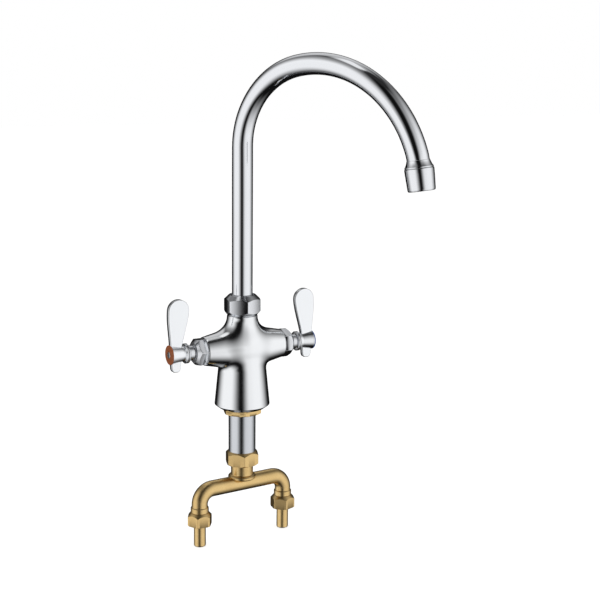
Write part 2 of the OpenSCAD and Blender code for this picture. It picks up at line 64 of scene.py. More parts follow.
print("CAD box in mm:", [round(1000 * (b - a), 1) for a, b in zip(cad_low, cad_high)])

# %% [markdown]
# ## The camera
# The photograph was taken from the left of the tap and a little above it. Its place
# was worked out from the upright riser, the level arms and the spacing of the pipes:
# about 1.2 m away, turned 29 degrees, tilted 11 degrees down and rolled by half a
# degree. Three rotations say the same thing as that sentence. A Blender camera at
# rest looks straight down, so the tilt is counted from 90 degrees.

# %% Camera
camera = bpy.data.objects.new("camera", bpy.data.cameras.new("camera"))
bpy.context.scene.collection.objects.link(camera)
bpy.context.scene.camera = camera
camera.data.sensor_width = 36
camera.data.lens = 78.36
camera.data.clip_end = 20
HALF_PIXEL = 0.5 / 600
camera.data.shift_x = -HALF_PIXEL
camera.data.shift_y = HALF_PIXEL
EYE = np.array([-529.3, -1055.7, 332.3])
LEVEL, TURN, TILT, ROLL = 90, -29.23, 11.07, 0.59
camera.matrix_world = (
    Matrix.Translation(EYE * MM)
    @ Matrix.Rotation(math.radians(TURN), 4, "Z")
    @ Matrix.Rotation(math.radians(LEVEL - TILT), 4, "X")
    @ Matrix.Rotation(math.radians(ROLL), 4, "Z")
)
TOWARDS_CAMERA = math.degrees(math.atan2(EYE[1], EYE[0]))
print("the camera stands at azimuth", round(TOWARDS_CAMERA, 1))

# %% [markdown]
# ## From grids of points to a mesh
# Every shape below is one or more grids: arrays of rows and columns of points. Four
# neighbours make a quad. A grid that runs once round an axis ends on the column it
# began with, and welding the double points closes that seam, as it closes a pole.
# Afterwards the faces are turned outwards. A chrome surface shows every fault in its
# normals, so each vertex gets the sum of its faces' normals weighted by their areas:
# a wide flat then stays flat right up to the narrow rounding of its edge.

# %% Mesh from grids
WELD = 0.002


def grid_quads(rows, columns, first):
    """Corner numbers of a grid's quads: (i, j), (i, j+1), (i+1, j+1), (i+1, j)."""
    corner = first + np.arange(rows * columns).reshape(rows, columns)
    return np.stack(
        [corner[:-1, :-1], corner[:-1, 1:], corner[1:, 1:], corner[1:, :-1]], -1
    ).reshape(-1, 4)


def mesh_from_grids(name, grids):
    """One mesh from grids in millimetres, welded, turned outwards and smoothed."""
    points = np.concatenate([g.reshape(-1, 3) for g in grids]) * MM
    first, quads = 0, []
    for grid in grids:
        quads.append(grid_quads(grid.shape[0], grid.shape[1], first))
        first += grid.shape[0] * grid.shape[1]
    mesh = bpy.data.meshes.new(name)
    mesh.from_pydata(points, [], np.concatenate(quads).tolist())
    welded = bmesh.new()
    welded.from_mesh(mesh)
    bmesh.ops.remove_doubles(welded, verts=welded.verts, dist=WELD * MM)
    bmesh.ops.recalc_face_normals(welded, faces=welded.faces)
    welded.to_mesh(mesh)
    welded.free()
    smooth_by_area(mesh)
    return mesh


def smooth_by_area(mesh):
    """Vertex normal = sum over its faces of (face normal x face area)."""
    count = len(mesh.polygons)
    normal, area = np.zeros(count * 3), np.zeros(count)
    total, corner = np.zeros(count, int), np.zeros(len(mesh.loops), int)
    for key, values in (("normal", normal), ("area", area), ("loop_total", total)):
        mesh.polygons.foreach_get(key, values)
    mesh.loops.foreach_get("vertex_index", corner)
    weighted = np.repeat(normal.reshape(-1, 3) * area[:, None], total, axis=0)
    summed = np.zeros((len(mesh.vertices), 3))
    np.add.at(summed, corner, weighted)
    summed /= np.maximum(np.linalg.norm(summed, axis=1), 1e-20)[:, None]
    mesh.polygons.foreach_set("use_smooth", np.ones(count, bool))
    mesh.normals_split_custom_set_from_vertices(summed)


# %% [markdown]
# ## Naming a finished piece
# A piece joins the model in three statements: which body it moves with, which CAD
# nodes it stands for, and its material. One helper says them all, so no piece can be
# forgotten.

# %% A finished piece
def piece(name, grids, body, nodes, material):
    """Makes the object, sets it on its body and lets it stand for its CAD nodes."""
    made = bpy.data.objects.new(name, mesh_from_grids(name, grids))
    bpy.context.scene.collection.objects.link(made)
    made.data.materials.append(material)
    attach(made, body)
    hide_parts(*nodes)
    size = np.array(made.dimensions) / MM
    print(f"{name}: {len(made.data.polygons)} faces, {np.round(size, 1)} mm")


# %% [markdown]
# ## Outlines with rounded corners
# A turned or cast edge is never quite sharp, and in polished metal the rounding is
# what draws the bright line along an edge. So every outline is a list of corners,
# and one function lays an arc into each: it touches both sides at the distance
# radius / tan(half the corner's angle), and its centre is on the corner's bisector.

# %% Rounded outlines
def unit(v):
    """A vector divided by its own length, and zero where it has none."""
    return v / np.maximum(np.linalg.norm(v, axis=-1, keepdims=True), 1e-12)


def rounded(corners, radius, steps=5):
    """Closed outlines (..., corners, 2) with an arc of steps + 1 points at each
    corner: centre + radius x (slerp between the two touching directions)."""
    corners = np.asarray(corners, float)
    radius = np.broadcast_to(radius, corners.shape[:-1])
    back = np.roll(corners, 1, axis=-2) - corners
    on = np.roll(corners, -1, axis=-2) - corners
    room = 0.46 * np.minimum(
        np.linalg.norm(back, axis=-1), np.linalg.norm(on, axis=-1)
    )
    a, b = unit(back), unit(on)
    half = 0.5 * np.arccos(np.clip((a * b).sum(-1), -1, 1))
    half = np.clip(half, 1e-3, math.pi / 2 - 1e-4)
    touch = np.minimum(radius / np.tan(half), room)
    used = touch * np.tan(half)
    centre = corners + unit(a + b) * (used / np.sin(half))[..., None]
    start = corners + a * touch[..., None] - centre
    end = corners + b * touch[..., None] - centre
    turn = (math.pi - 2 * half)[..., None]
    t = np.linspace(0, 1, steps + 1)
    sine = np.maximum(np.sin(turn), 1e-9)
    from_start = (np.sin((1 - t) * turn) / sine)[..., None]
    from_end = (np.sin(t * turn) / sine)[..., None]
    arc = (
        centre[..., None, :]
        + from_start * start[..., None, :]
        + from_end * end[..., None, :]
    )
    straight = (used < 1e-6)[..., None, None]
    arc = np.where(straight, corners[..., None, :], arc)
    return arc.reshape(*corners.shape[:-2], -1, 2)


def closed(outline):
    """The outline with its first point repeated at the end."""
    return np.concatenate([outline, outline[..., :1, :]], axis=-2)


example = rounded([(0, 0), (10, 0), (10, 4), (0, 4)], 1)
print("a rectangle of 4 corners, each an arc:", len(example), "points")

# %% [markdown]
# ## Turned pieces and placing them
# A lathe makes most of a tap. An outline of (radius, height) pairs turned round the
# local Z axis is the grid x = r cos a, y = r sin a, z = h. The result is then carried
# to its place by a matrix, applied to the points themselves, so every object stays
# at the origin with its place in its mesh, just as the CAD nodes do.

# %% Turned pieces
def turned(corners, radius, around=128):
    """An outline of (radius, height) corners turned once round the Z axis."""
    outline = closed(rounded(corners, radius))
    angle = np.linspace(0, 2 * math.pi, around + 1)
    r, h = outline[:, :1], outline[:, 1:]
    return np.stack(
        [r * np.cos(angle), r * np.sin(angle), h + 0 * angle], axis=-1
    )


def placed(grid, matrix):
    """Every point of the grid carried by a 4x4 matrix."""
    m = np.array(matrix)
    return grid @ m[:3, :3].T + m[:3, 3]


def turn(degrees, axis):
    """A rotation matrix about one of the axes X, Y and Z."""
    return np.array(Matrix.Rotation(math.radians(degrees), 4, axis))


def shift(x, y, z):
    """A matrix that moves by x, y and z millimetres."""
    return np.array(Matrix.Translation((x, y, z)))


ARM_HEIGHT = 57.0


def on_arm(side):
    """Local +Z becomes the outward direction of the left (-1) or right (+1) arm."""
    return shift(0, 0, ARM_HEIGHT) @ turn(90 * side, "Y")


ring = turned([(5, 0), (6, 0), (6, 2)], 0.3)
print("rows and columns of a turned ring:", ring.shape[:2])

# %% [markdown]
# ## Node helpers
# Materials are trees of nodes. One helper adds a node, sets its values and wires its
# inputs, which keeps each material below as short as its description. Effects that
# several finishes share are built once as node groups: the first lets the roughness
# wander softly, as handling and polishing leave it, and the second is a fine grain.

# %% Node helpers
def add(tree, kind, inputs=None, **settings):
    """Adds one node; inputs maps a socket to a value or to another node's output."""
    made = tree.nodes.new(kind)
    for key, value in settings.items():
        setattr(made, key, value)
    for key, value in (inputs or {}).items():
        if isinstance(value, bpy.types.NodeSocket):
            tree.links.new(value, made.inputs[key])
        else:
            made.inputs[key].default_value = value
    return made


def new_group(name, takes, gives):
    """An empty node group with named float inputs and outputs."""
    tree = bpy.data.node_groups.new(name, "ShaderNodeTree")
    number = "NodeSocketFloat"
    for key, value in takes.items():
        made = tree.interface.new_socket(key, in_out="INPUT", socket_type=number)
        made.default_value = value
    for key in gives:
        tree.interface.new_socket(key, in_out="OUTPUT", socket_type=number)
    return tree, tree.nodes.new("NodeGroupInput"), tree.nodes.new("NodeGroupOutput")


# %% Group: a value that wanders softly over the surface
wander, wander_in, wander_out = new_group(
    "wander", {"Scale": 60.0, "Low": 0.04, "High": 0.09}, ["Value"]
)
place = add(wander, "ShaderNodeTexCoord")
cloud = add(
    wander, "ShaderNodeTexNoise",
    {"Vector": place.outputs["Object"], "Scale": wander_in.outputs["Scale"],
     "Detail": 3.0, "Roughness": 0.55},
)
spread = add(
    wander, "ShaderNodeMapRange",
    {"Value": cloud.outputs[0], "From Min": 0.3, "From Max": 0.7,
     "To Min": wander_in.outputs["Low"], "To Max": wander_in.outputs["High"]},
)
wander.links.new(spread.outputs[0], wander_out.inputs["Value"])

# %% Group: the fine grain of blasted or tumbled metal
grain, grain_in, grain_out = new_group(
    "grain", {"Scale": 2500.0}, ["Height", "Speck"]
)
place = add(grain, "ShaderNodeTexCoord")
fine = add(
    grain, "ShaderNodeTexNoise",
    {"Vector": place.outputs["Object"], "Scale": grain_in.outputs["Scale"],
     "Detail": 4.0, "Roughness": 0.7},
)
speck = add(
    grain, "ShaderNodeMapRange",
    {"Value": fine.outputs[0], "From Min": 0.35, "From Max": 0.65},
)
grain.links.new(fine.outputs[0], grain_out.inputs["Height"])
grain.links.new(speck.outputs[0], grain_out.inputs["Speck"])
print("node groups:", [g.name for g in bpy.data.node_groups])

# %% [markdown]
# ## Chrome
# Chrome plate is a mirror with a faint blue cast. Two differences make it look real:
# the cast body is buffed by hand and keeps slightly softer reflections than the
# drawn tube, and its surface waves by a few hundredths of a millimetre, which bends
# the long reflections a little. The colour is a plain socket value, darker on the
# tube, the turned parts and the shank as painted shade; the roughness comes from the
# wander group.

# %% Chrome finishes
def with_group(tree, group, **values):
    """Places a node group in a material with its own values."""
    return add(tree, "ShaderNodeGroup", values, node_tree=group)


def new_material(name):
    """A material with its tree and its Principled BSDF."""
    made = bpy.data.materials.new(name)
    made.use_nodes = True
    return made, made.node_tree, made.node_tree.nodes["Principled BSDF"]


def chrome_finish(name, colour, smooth, soft, wave=0.0):
    """Chrome plate whose roughness wanders from smooth to soft over a faint wave."""
    made, tree, metal = new_material(name)
    metal.inputs["Base Color"].default_value = (*colour, 1)
    metal.inputs["Metallic"].default_value = 1
    rough = with_group(tree, wander, Scale=90.0, Low=smooth, High=soft)
    tree.links.new(rough.outputs["Value"], metal.inputs["Roughness"])
    if wave:
        swell = with_group(tree, wander, Scale=60.0, Low=0.0, High=1.0)
        bump = add(
            tree, "ShaderNodeBump",
            {"Height": swell.outputs["Value"], "Distance": wave * MM, "Strength": 1.0},
        )
        tree.links.new(bump.outputs["Normal"], metal.inputs["Normal"])
    return made


CAST_WAVE = 0.02
chrome_cast = chrome_finish(
    "chrome_on_casting", (0.87, 0.885, 0.905), 0.09, 0.14, CAST_WAVE
)
# The tube, the turned parts and the shank are the same chrome plate in darker base
# colours: painted shade that copies how dim each part looks in this light, darkest on the
# shank below the deck.
chrome_tube_painted_shade = chrome_finish("chrome_on_tube_painted_shade", (0.82, 0.835, 0.865), 0.06, 0.1)
chrome_turned_painted_shade = chrome_finish(
    "chrome_on_turned_parts_painted_shade", (0.74, 0.755, 0.785), 0.12, 0.18
)
chrome_blade = chrome_finish("chrome_on_levers", (0.88, 0.9, 0.925), 0.1, 0.16)
chrome_shank_painted_shade = chrome_finish("chrome_on_shank_painted_shade", (0.63, 0.65, 0.685), 0.16, 0.22)
print("chrome finishes:", [m.name for m in bpy.data.materials if "chrome" in m.name])

# %% [markdown]
# ## Brass and the other finishes
# The parts below the deck are bare brass with a satin skin: a fine grain in the
# height for the normals, and specks of a slightly lighter and darker yellow in the
# colour. The same recipe with other colours makes the machined brass inside, and the
# remaining finishes are small: rubber, white acetal, ceramic, steel and enamel.

# %% Brass finishes
def two_tones(tree, value, dark, light):
    """A colour that goes from dark to light with the value."""
    colour = add(tree, "ShaderNodeValToRGB", {"Fac": value})
    colour.color_ramp.elements[0].color = (*dark, 1)
    colour.color_ramp.elements[1].color = (*light, 1)
    return colour.outputs["Color"]


def satin_brass(name, light, dark, rough, depth):
    """Metal whose colour flickers between two tones over a grain of some depth."""
    made, tree, metal = new_material(name)
    metal.inputs["Metallic"].default_value = 1
    skin_grain = with_group(tree, grain, Scale=1800.0)
    cloud = with_group(tree, wander, Scale=45.0, Low=-0.3, High=0.3)
    tone = add(
        tree, "ShaderNodeMath",
        {0: skin_grain.outputs["Speck"], 1: cloud.outputs["Value"]},
        operation="ADD", use_clamp=True,
    )
    colour = two_tones(tree, tone.outputs[0], dark, light)
    bump = add(
        tree, "ShaderNodeBump",
        {"Height": skin_grain.outputs["Height"], "Distance": depth * MM,
         "Strength": 1.0},
    )
    low, high = rough - 0.04, rough + 0.04
    roughness = with_group(tree, wander, Scale=70.0, Low=low, High=high)
    tree.links.new(colour, metal.inputs["Base Color"])
    tree.links.new(roughness.outputs["Value"], metal.inputs["Roughness"])
    tree.links.new(bump.outputs["Normal"], metal.inputs["Normal"])
    return made


bright_brass = satin_brass(
    "satin_brass", (0.85, 0.62, 0.29), (0.7, 0.48, 0.2), 0.32, 0.02
)
plain_brass = satin_brass(
    "machined_brass", (0.74, 0.55, 0.27), (0.66, 0.47, 0.22), 0.22, 0.005
)
screen_steel = satin_brass(
    "plain_steel", (0.66, 0.66, 0.67), (0.56, 0.56, 0.57), 0.25, 0.004
)
print("satin finishes:", bright_brass.name, plain_brass.name, screen_steel.name)

# %% Rubber, plastic, ceramic and enamel
def moulded(name, light, dark, rough):
    """A non-metal whose colour flickers a little between two tones."""
    made, tree, skin_shader = new_material(name)
    skin_grain = with_group(tree, grain, Scale=900.0)
    colour = two_tones(tree, skin_grain.outputs["Speck"], dark, light)
    low, high = rough - 0.05, rough + 0.05
    roughness = with_group(tree, wander, Scale=80.0, Low=low, High=high)
    tree.links.new(colour, skin_shader.inputs["Base Color"])
    tree.links.new(roughness.outputs["Value"], skin_shader.inputs["Roughness"])
    return made


black_rubber = moulded("black_rubber", (0.035, 0.035, 0.035), (0.02, 0.02, 0.02), 0.6)
white_plastic = moulded("white_acetal", (0.86, 0.86, 0.84), (0.8, 0.8, 0.78), 0.4)
ceramic = moulded("lapped_ceramic", (0.92, 0.9, 0.85), (0.86, 0.84, 0.79), 0.2)
hot_enamel = moulded(
    "copper_red_enamel", (0.54, 0.156, 0.048), (0.42, 0.112, 0.032), 0.35
)
cold_enamel = moulded("blue_enamel", (0.05, 0.14, 0.5), (0.03, 0.1, 0.4), 0.35)
print("materials so far:", len(bpy.data.materials))

# %% [markdown]
# ## The cast body
# The body is one brass casting: a column that widens to the foot and two arms for
# the valves, melted into each other. A smooth minimum of the two distances describes
# exactly that: where both are nearly equal, their surfaces flow together over a
# chosen width. The skin is found by looking out from the crossing of the arms in
# many directions and halving the distance again and again until it lies on the skin.
# The arms thicken towards the column in a straight line that is eased over the
# middle, so no crease runs down the front.

# %% The skin of the body as a distance
ARM_LENGTH, ARM_RADIUS, ARM_TAPER, ARM_EASING = 39.5, 13.2, 0.22, 10.0
FOOT_RADIUS, FOOT_EDGE, COLUMN_TAPER = 25.7, 4.1, 0.1
NECK_RADIUS, NECK_SHOULDER, NECK_TOP = 14.1, 87.7, 98.0
NECK_FROM, NECK_GROWTH = 38, 46
MELT_UNDER, MELT_OVER, MELT_FROM, MELT_GROWTH = 5.5, 13.0, ARM_HEIGHT - 10, 16
NEAREST, FARTHEST = 5.0, 120.0
CROSSING = np.array([0.0, 0.0, ARM_HEIGHT])


def ease(t):
    """Smooth step from 0 to 1: 3 t^2 - 2 t^3."""
    t = np.clip(t, 0, 1)
    return t * t * (3 - 2 * t)


def body_skin(p):
    """Below zero inside the casting: min(c, a) - max(w - |c - a|, 0)^2 / (4 w) for the
    distances c to the column and a to the arms and the width w of the blend."""
    x, y, z = p[..., 0], p[..., 1], p[..., 2]
    cone = FOOT_RADIUS - COLUMN_TAPER * (z - FOOT_EDGE)
    neck = ease((z - NECK_FROM) / NECK_GROWTH)
    column = np.hypot(x, y) - (cone * (1 - neck) + NECK_RADIUS * neck)
    along = math.hypot(ARM_LENGTH, ARM_EASING) - np.hypot(x, ARM_EASING)
    arm = np.hypot(y, z - ARM_HEIGHT) - (ARM_RADIUS + ARM_TAPER * along)
    over = ease((z - MELT_FROM) / MELT_GROWTH)
    width = MELT_UNDER + (MELT_OVER - MELT_UNDER) * over
    near = np.maximum(width - np.abs(column - arm), 0) / width
    return np.minimum(column, arm) - near * near * width / 4


def halve(inside, low, high, rounds=34):
    """The distance at which inside(distance) turns from below to above zero."""
    for _ in range(rounds):
        middle = (low + high) / 2
        below = inside(middle) < 0
        low, high = np.where(below, middle, low), np.where(below, high, middle)
    return (low + high) / 2


def look_out(direction):
    """Where rays from the crossing of the arms leave the skin."""
    d = unit(direction)
    low, high = np.full(d.shape[:-1], NEAREST), np.full(d.shape[:-1], FARTHEST)
    reach = halve(lambda s: body_skin(CROSSING + s[..., None] * d), low, high)
    return CROSSING + reach[..., None] * d


front = look_out(np.array([[0.0, -1.0, 0.0]]))[0]
print("the front of the casting lies", round(-front[1], 2), "mm before its axis")

# %% [markdown]
# The rays are laid out like the sides of a cube. On four of its sides, up, down, left
# and right, the skin ends in a machined circle, so there the grid runs from that
# circle out to the cube's square edge. The front and the back are plain square grids.
# Equal steps of angle make the points of neighbouring sides meet exactly.

# %% The four round openings
SIDE_STEPS, RING_STEPS = 48, 40
RING_NEAREST, RING_FARTHEST = 2.0, 42.0
AROUND = math.radians(-45) + np.linspace(0, 2 * math.pi, 4 * SIDE_STEPS + 1)


def opening_ring(axis, first, second, along):
    """The circle where the skin meets the plane at the height along on the axis."""
    spin = np.cos(AROUND)[:, None] * first + np.sin(AROUND)[:, None] * second
    base = CROSSING + along * axis
    low, high = (np.full(len(AROUND), r) for r in (RING_NEAREST, RING_FARTHEST))
    r = halve(lambda s: body_skin(base + s[:, None] * spin), low, high)
    return base, spin, r


def opening_side(axis, first, second, along):
    """Grid from the opening's circle to the square edge of its side of the cube."""
    base, spin, r = opening_ring(axis, first, second, along)
    inner = unit(base + r[:, None] * spin - CROSSING)
    square = np.stack([np.cos(AROUND), np.sin(AROUND)], -1)
    square /= np.abs(square).max(-1, keepdims=True)
    outer = unit(axis + square[:, :1] * first + square[:, 1:] * second)
    t = np.linspace(0, 1, RING_STEPS + 1)[:, None, None]
    return look_out((1 - t) * inner + t * outer)


def opening_mouth(axis, first, second, along, corners, radius):
    """The machined surfaces inside an opening. Each corner is (outward shift from
    the circle, height) where the first number is below zero, else (radius, height)."""
    base, spin, r = opening_ring(axis, first, second, along)
    table = np.array(corners, float)
    wide = np.where(table[:, 0] < 0, r[:, None] + table[:, 0], table[:, 0])
    outline = np.stack([wide, np.broadcast_to(table[:, 1], wide.shape)], -1)
    start = np.stack([r, np.full(len(r), along)], -1)[:, None]
    path = np.concatenate([start, outline], 1)
    arcs = rounded(path, np.array([0, *np.broadcast_to(radius, len(corners))]))
    arcs = arcs.swapaxes(0, 1)
    return CROSSING + arcs[..., :1] * spin + arcs[..., 1:] * axis


# %% Column, arms, sockets and bores as one closed casting
X, Y, Z = np.eye(3)
LIP, ARM_LIP = 0.5, 0.4
FOOT_ROUND, INNER_ROUND = 0.6, 0.25
BONNET_BORE, SEAT_BORE = 9, 4
SHOULDER_AT, TOP_AT, SLEEVE_FLOOR = (
    h - ARM_HEIGHT for h in (NECK_SHOULDER, NECK_TOP, 72)
)
THREAD_R, SLEEVE_R = 12.6, 10.95
DECK_AT, EDGE_AT, GASKET_R, SHANK_HOLE, RISER_HOLE = 57, 52.9, 18.7, 12.75, 10.4
SOCKET = [(-ARM_LIP, ARM_LENGTH), (BONNET_BORE, ARM_LENGTH), (BONNET_BORE, 14),
          (SEAT_BORE, 14), (SEAT_BORE, 7), (0, 7)]
NECK = [(-LIP, SHOULDER_AT), (THREAD_R, SHOULDER_AT), (THREAD_R, TOP_AT),
        (SLEEVE_R, TOP_AT), (SLEEVE_R, SLEEVE_FLOOR), (0, SLEEVE_FLOOR)]
FOOT = [(25.62, EDGE_AT + 0.9), (21.2, DECK_AT), (GASKET_R, DECK_AT),
        (GASKET_R, 55.5), (SHANK_HOLE, 55.5), (SHANK_HOLE, 37), (RISER_HOLE, 37),
        (RISER_HOLE, 28), (0, 28)]
openings = [
    (X, Y, Z, ARM_LENGTH - LIP, SOCKET), (-X, Y, Z, ARM_LENGTH - LIP, SOCKET),
    (Z, X, Y, SHOULDER_AT - LIP, NECK), (-Z, X, Y, EDGE_AT, FOOT),
]
slope = np.tan(np.linspace(-math.pi / 4, math.pi / 4, SIDE_STEPS + 1))
across, up = np.meshgrid(slope, slope)
casting = [
    look_out(np.stack([across, side + 0 * across, up], -1)) for side in (-1.0, 1.0)
]
for axis, first, second, along, corners in openings:
    radius = [FOOT_ROUND if c is FOOT[0] else INNER_ROUND for c in corners[:-1]] + [0]
    casting.append(opening_side(axis, first, second, along))
    casting.append(opening_mouth(axis, first, second, along, corners, radius))
piece("cast_body", casting, "tap_body", ["body"], chrome_cast)

# %% [markdown]
# ## Shank
# Below the deck a round tube carries the whole tap. It is plain plated tube with a
# small chamfer at each end.

# %% Shank
SHANK_NUT_TOP = -42.5
SHANK_FOOT, SHANK_TOP = SHANK_NUT_TOP - 8.9, 19.9
SHANK_BORE, SHANK_R = 10.4, 12.7
shank_outline = [
    (SHANK_BORE, SHANK_FOOT), (SHANK_R, SHANK_FOOT), (SHANK_R, SHANK_TOP),
    (SHANK_BORE, SHANK_TOP),
]
piece(
    "shank_tube", [turned(shank_outline, 0.5)], "tap_body", ["shank"],
    chrome_shank_painted_shade,
)

# %% [markdown]
# ## Hexagon nuts
# A nut starts as a hexagon bar whose corners are turned off by a cone, and the curve
# between cone and flat comes by itself if each angle gets its own outline: the wall
# stands at rho = half width / cos(angle from the flat), rounded at the corners, and
# the cone cuts it at the height where the cone's radius equals rho. So one array of
# outlines, one for each angle, is the whole nut with its bore.

# %% Hexagon nuts
THIRTY = math.radians(30)
FLAT_STEPS, CORNER_STEPS, NUT_EDGE = 22, 8, 0.35


def hexagon(flats, corner_round, crown):
    """Angles and radii of a hexagon with rounded corners, once round. On a flat
    rho = a / cos(angle), on a corner rho is the far side of a small circle. Polishing
    makes a flat swell: its middle keeps its place, its ends fall back by the crown."""
    a = flats / 2
    inner = a - corner_round
    centre = inner / math.cos(THIRTY)
    touch = THIRTY - math.atan(inner / a * math.tan(THIRTY))
    flat = np.linspace(touch - THIRTY, THIRTY - touch, FLAT_STEPS)
    bend = np.linspace(-touch, touch, CORNER_STEPS + 1)[1:-1] + THIRTY
    bend_r = centre * np.cos(bend - THIRTY) + np.sqrt(
        corner_round**2 - (centre * np.sin(bend - THIRTY)) ** 2
    )
    sector = np.concatenate([flat, bend])
    rho = np.concatenate([a / np.cos(flat), bend_r])
    fall = np.minimum(np.abs(np.tan(sector) / math.tan(THIRTY)), 1) ** 2
    rho = rho - crown * fall
    angle = (sector + np.radians(60 * np.arange(6))[:, None]).ravel()
    return np.append(angle, angle[0] + 2 * math.pi), np.append(np.tile(rho, 6), rho[0])


def nut(flats, foot, top, rims, cuts, bore, degrees, corner_round=0.5, crown=0.0):
    """A hexagon nut: rims and cuts give the cones' end radii and heights at the foot
    and the top, bore the corners (radius, height) of the inside from top to foot.
    One corner of the hexagon points to the angle in degrees."""
    angle, rho = hexagon(flats, corner_round, crown)
    corner = flats / math.sqrt(3)
    low = foot + cuts[0] * np.clip((rho - rims[0]) / (corner - rims[0]), 0, 1)
    high = top - cuts[1] * np.clip((rho - rims[1]) / (corner - rims[1]), 0, 1)
    outside = np.stack([
        np.stack([np.minimum(rims[0], rho), np.full_like(rho, foot)], -1),
        np.stack([rho, low], -1),
        np.stack([rho, high], -1),
        np.stack([np.minimum(rims[1], rho), np.full_like(rho, top)], -1),
    ], 1)
    inside = np.broadcast_to(np.array(bore, float), (len(rho), len(bore), 2))
    outline = closed(rounded(np.concatenate([outside, inside], 1), NUT_EDGE))
    spin = (angle + math.radians(degrees + 30))[:, None]
    r, h = outline[..., 0], outline[..., 1]
    return np.stack([r * np.cos(spin), r * np.sin(spin), h], -1)


# %% Spout nut and deck locknut
def brass_piece(name, grids, node):
    """A piece of bare brass that moves with the body."""
    piece(name, grids, "tap_body", [node], bright_brass)


CAP_FOOT, CAP_ROOF, CAP_TOP = 88, 102.9, 106.8
cap_bore = [(11.35, CAP_TOP), (11.35, CAP_ROOF), (12.65, CAP_ROOF), (12.65, CAP_FOOT)]
spout_nut_grid = nut(
    31.4, CAP_FOOT, CAP_TOP, (13.6, 12.3), (5, 5.6), cap_bore, 22.5,
    corner_round=0.9, crown=0.9,
)
piece("spout_nut_polished", [spout_nut_grid], "tap_body", ["spout_nut"],
      chrome_turned_painted_shade)
LOCKNUT_FOOT, LOCKNUT_TOP = -5.6, -0.05
locknut_bore = [(SHANK_HOLE, LOCKNUT_TOP), (SHANK_HOLE, LOCKNUT_FOOT)]
locknut_grid = nut(
    33, LOCKNUT_FOOT, LOCKNUT_TOP, (17, 18.8), (1, 0.2), locknut_bore, 12
)
brass_piece("deck_locknut_brass", [locknut_grid], "deck_locknut")

# %% [markdown]
# ## The gooseneck
# The spout is one drawn tube on a path of a straight riser and three arcs that meet
# without a corner. The path gives a point and a direction for every row, and the
# round section is laid square to it: point + r (cos a x side + sin a x normal). The
# outer surface runs forward, the inner one back, so the tube is closed and hollow.
# A bender leaves the first bend a little flat, so its section is narrower there.

# %% Path of the spout
RISER_TOP, FIRST_BEND, WIDE_BEND, LAST_BEND = 241.5, 74.7, 105.3, 43.0
CHANGE, LAST_FROM, OUTLET = 103.2, 19.0, 9.5
SPOUT_TURN = -64.6
TUBE_R, TUBE_WALL, TUBE_FOOT = 9.525, 1.1, 90.0


def around_centre(centre, r, degrees):
    """Points centre + r (cos a, sin a) and forward directions (sin a, -cos a) on an
    arc that is passed in falling angle."""
    a = np.radians(degrees)
    point = centre + r * np.stack([np.cos(a), np.sin(a)], -1)
    return point, np.stack([np.sin(a), -np.cos(a)], -1)


def ray(degrees):
    """The direction (cos a, sin a) of an angle in the plane of the spout."""
    a = math.radians(degrees)
    return np.array([math.cos(a), math.sin(a)])


first_centre = np.array([FIRST_BEND, RISER_TOP])
wide_centre = first_centre + (FIRST_BEND - WIDE_BEND) * ray(CHANGE)
last_centre = wide_centre + (WIDE_BEND - LAST_BEND) * ray(LAST_FROM)
SPOUT_TIP = last_centre + LAST_BEND * ray(OUTLET)
riser_z = np.linspace(TUBE_FOOT, RISER_TOP, 24)[:-1]
riser = np.stack([0 * riser_z, riser_z], -1), np.tile([0.0, 1.0], (len(riser_z), 1))
bends = [
    around_centre(first_centre, FIRST_BEND, np.linspace(180, CHANGE, 70)[:-1]),
    around_centre(wide_centre, WIDE_BEND, np.linspace(CHANGE, LAST_FROM, 90)[:-1]),
    around_centre(last_centre, LAST_BEND, np.linspace(LAST_FROM, OUTLET, 12)),
]
path = np.concatenate([riser[0]] + [b[0] for b in bends])
ahead = np.concatenate([riser[1]] + [b[1] for b in bends])
run = np.append(0, np.cumsum(np.linalg.norm(np.diff(path, axis=0), axis=1)))
print("length along the spout in mm:", round(run[-1], 1))

# %% The tube on its path
FLATTENING, FLAT_AT, FLAT_REACH = 0.045, 45.0, 38.0


def tube_grid(r, around=96):
    """Circles of radius r square to the path. In the plane of the spout they are
    narrower by the factor 1 - FLATTENING exp(-(distance / FLAT_REACH)^2)."""
    a = np.linspace(0, 2 * math.pi, around + 1)
    distance = run - (RISER_TOP - TUBE_FOOT) - FLAT_AT
    squeeze = 1 - FLATTENING * np.exp(-(distance / FLAT_REACH) ** 2)
    normal = np.stack([ahead[:, 1], -ahead[:, 0]], -1)
    from_path = r * (squeeze[:, None] * np.cos(a))
    in_plane = path[:, None] + from_path[..., None] * normal[:, None]
    sideways = r * np.broadcast_to(np.sin(a), in_plane.shape[:2])
    return np.stack([in_plane[..., 0], sideways, in_plane[..., 1]], -1)


tube_outside = tube_grid(TUBE_R)
tube_inside = tube_grid(TUBE_R - TUBE_WALL)[::-1]
tube_shell = np.concatenate([tube_outside, tube_inside, tube_outside[:1]])
piece(
    "spout_gooseneck", [placed(tube_shell, turn(SPOUT_TURN, "Z"))], "spout",
    ["spout_tube"], chrome_tube_painted_shade,
)

# %% [markdown]
# ## The outlet
# A flared fitting is brazed to the tube's end and the aerator housing screws onto
# it. Both are turned pieces, drawn along their own axis with its zero at the tube's
# end, then laid along the outlet's direction. The flare is a hollow curve: its
# radius grows slowly at first and quickly at the end.

